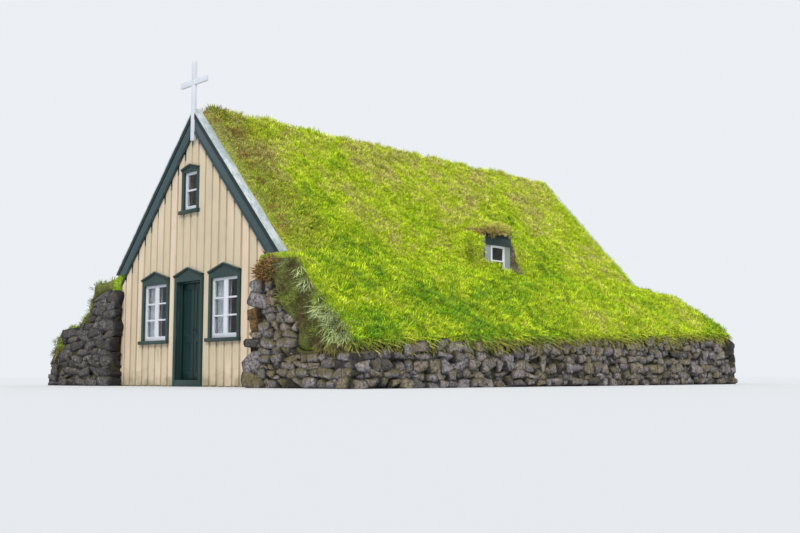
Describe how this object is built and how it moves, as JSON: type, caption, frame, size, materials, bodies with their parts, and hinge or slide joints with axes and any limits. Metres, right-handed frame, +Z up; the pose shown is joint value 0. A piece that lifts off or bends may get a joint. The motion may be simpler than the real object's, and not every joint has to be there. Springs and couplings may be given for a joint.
{
  "type": "turf church",
  "caption": "Small turf-roofed church: cream timber gables with dark green trim, a cross on the front apex, stone and turf side walls, a dormer in the roof and double doors that open inwards.",
  "frame": {"origin": "Middle of the plan at ground level, under the ridge.", "axes": "+Z up, +Y along the ridge towards the rear gable, +X to the right when facing the front gable; the front gable faces -Y."},
  "size_m": [9.28, 11, 5.5398],
  "materials": {
    "floor_timber": "worn floor boards",
    "inner_timber": "bare boards",
    "gable_boards": "painted board and batten, cream",
    "green_paint": "dark bottle-green paint, satin",
    "verge_paint": "weathered blue-grey paint",
    "white_paint": "white paint, satin",
    "door_paint": "very dark green paint, satin",
    "knob_metal": "black iron, worn",
    "window_glass": "clear window glass",
    "stone": "dry-laid basalt with moss",
    "turf": "living grass sod"
  },
  "bodies": {
    "root": {"floor": "floor_timber", "side_lining_right": "inner_timber", "side_lining_left": "inner_timber", "front_wall_right": "gable_boards", "front_wall_left": "gable_boards", "front_wall_top": "gable_boards", "rear_wall": "gable_boards", "roof_boards_left": "inner_timber", "roof_boards_right": "inner_timber", "turf_roof_left": "turf", "turf_roof_right": "turf", "bargeboard_front_right": "green_paint", "bargeboard_front_left": "green_paint", "bargeboard_rear_right": "green_paint", "bargeboard_rear_left": "green_paint", "verge_cap_front_right": "verge_paint", "verge_cap_front_left": "verge_paint", "verge_cap_rear_right": "verge_paint", "verge_cap_rear_left": "verge_paint", "cross_mast": "white_paint", "cross_arm": "white_paint", "stone_base_right": "stone", "stone_base_left": "stone", "stone_end_front_right": "stone", "stone_end_front_left": "stone", "stone_end_rear_right": "stone", "stone_end_rear_left": "stone", "turf_bank_right": "turf", "turf_bank_left": "turf", "window_casing_right": "green_paint", "window_casing_left": "green_paint", "window_casing_gable": "green_paint", "window_frame_right": "white_paint", "window_frame_left": "white_paint", "window_frame_gable": "white_paint", "window_glass_right": "window_glass", "window_glass_left": "window_glass", "window_glass_gable": "window_glass", "rear_window_casings": "green_paint", "rear_window_frames": "white_paint", "rear_window_glass": "window_glass", "door_casing": "green_paint", "door_frame": "green_paint", "door_threshold": "green_paint", "door_hinges": "knob_metal", "dormer_cheeks": "verge_paint", "dormer_casing": "verge_paint", "dormer_head": "green_paint", "dormer_window_frame": "white_paint", "dormer_window_glass": "window_glass", "dormer_roof": "green_paint", "dormer_turf": "turf"},
    "right_leaf": {"door_leaf_right": "door_paint", "door_knob": "knob_metal"},
    "left_leaf": {"door_leaf_left": "door_paint"}
  },
  "joints": [
    {"name": "right_leaf_hinge", "type": "hinge", "parent": "root", "child": "right_leaf", "pos_m": [0.218, -4.746, 0.94], "axis": [0, 0, 1], "range_deg": [-95, 0]},
    {"name": "left_leaf_hinge", "type": "hinge", "parent": "root", "child": "left_leaf", "pos_m": [-0.458, -4.746, 0.94], "axis": [0, 0, 1], "range_deg": [0, 95]}
  ]
}
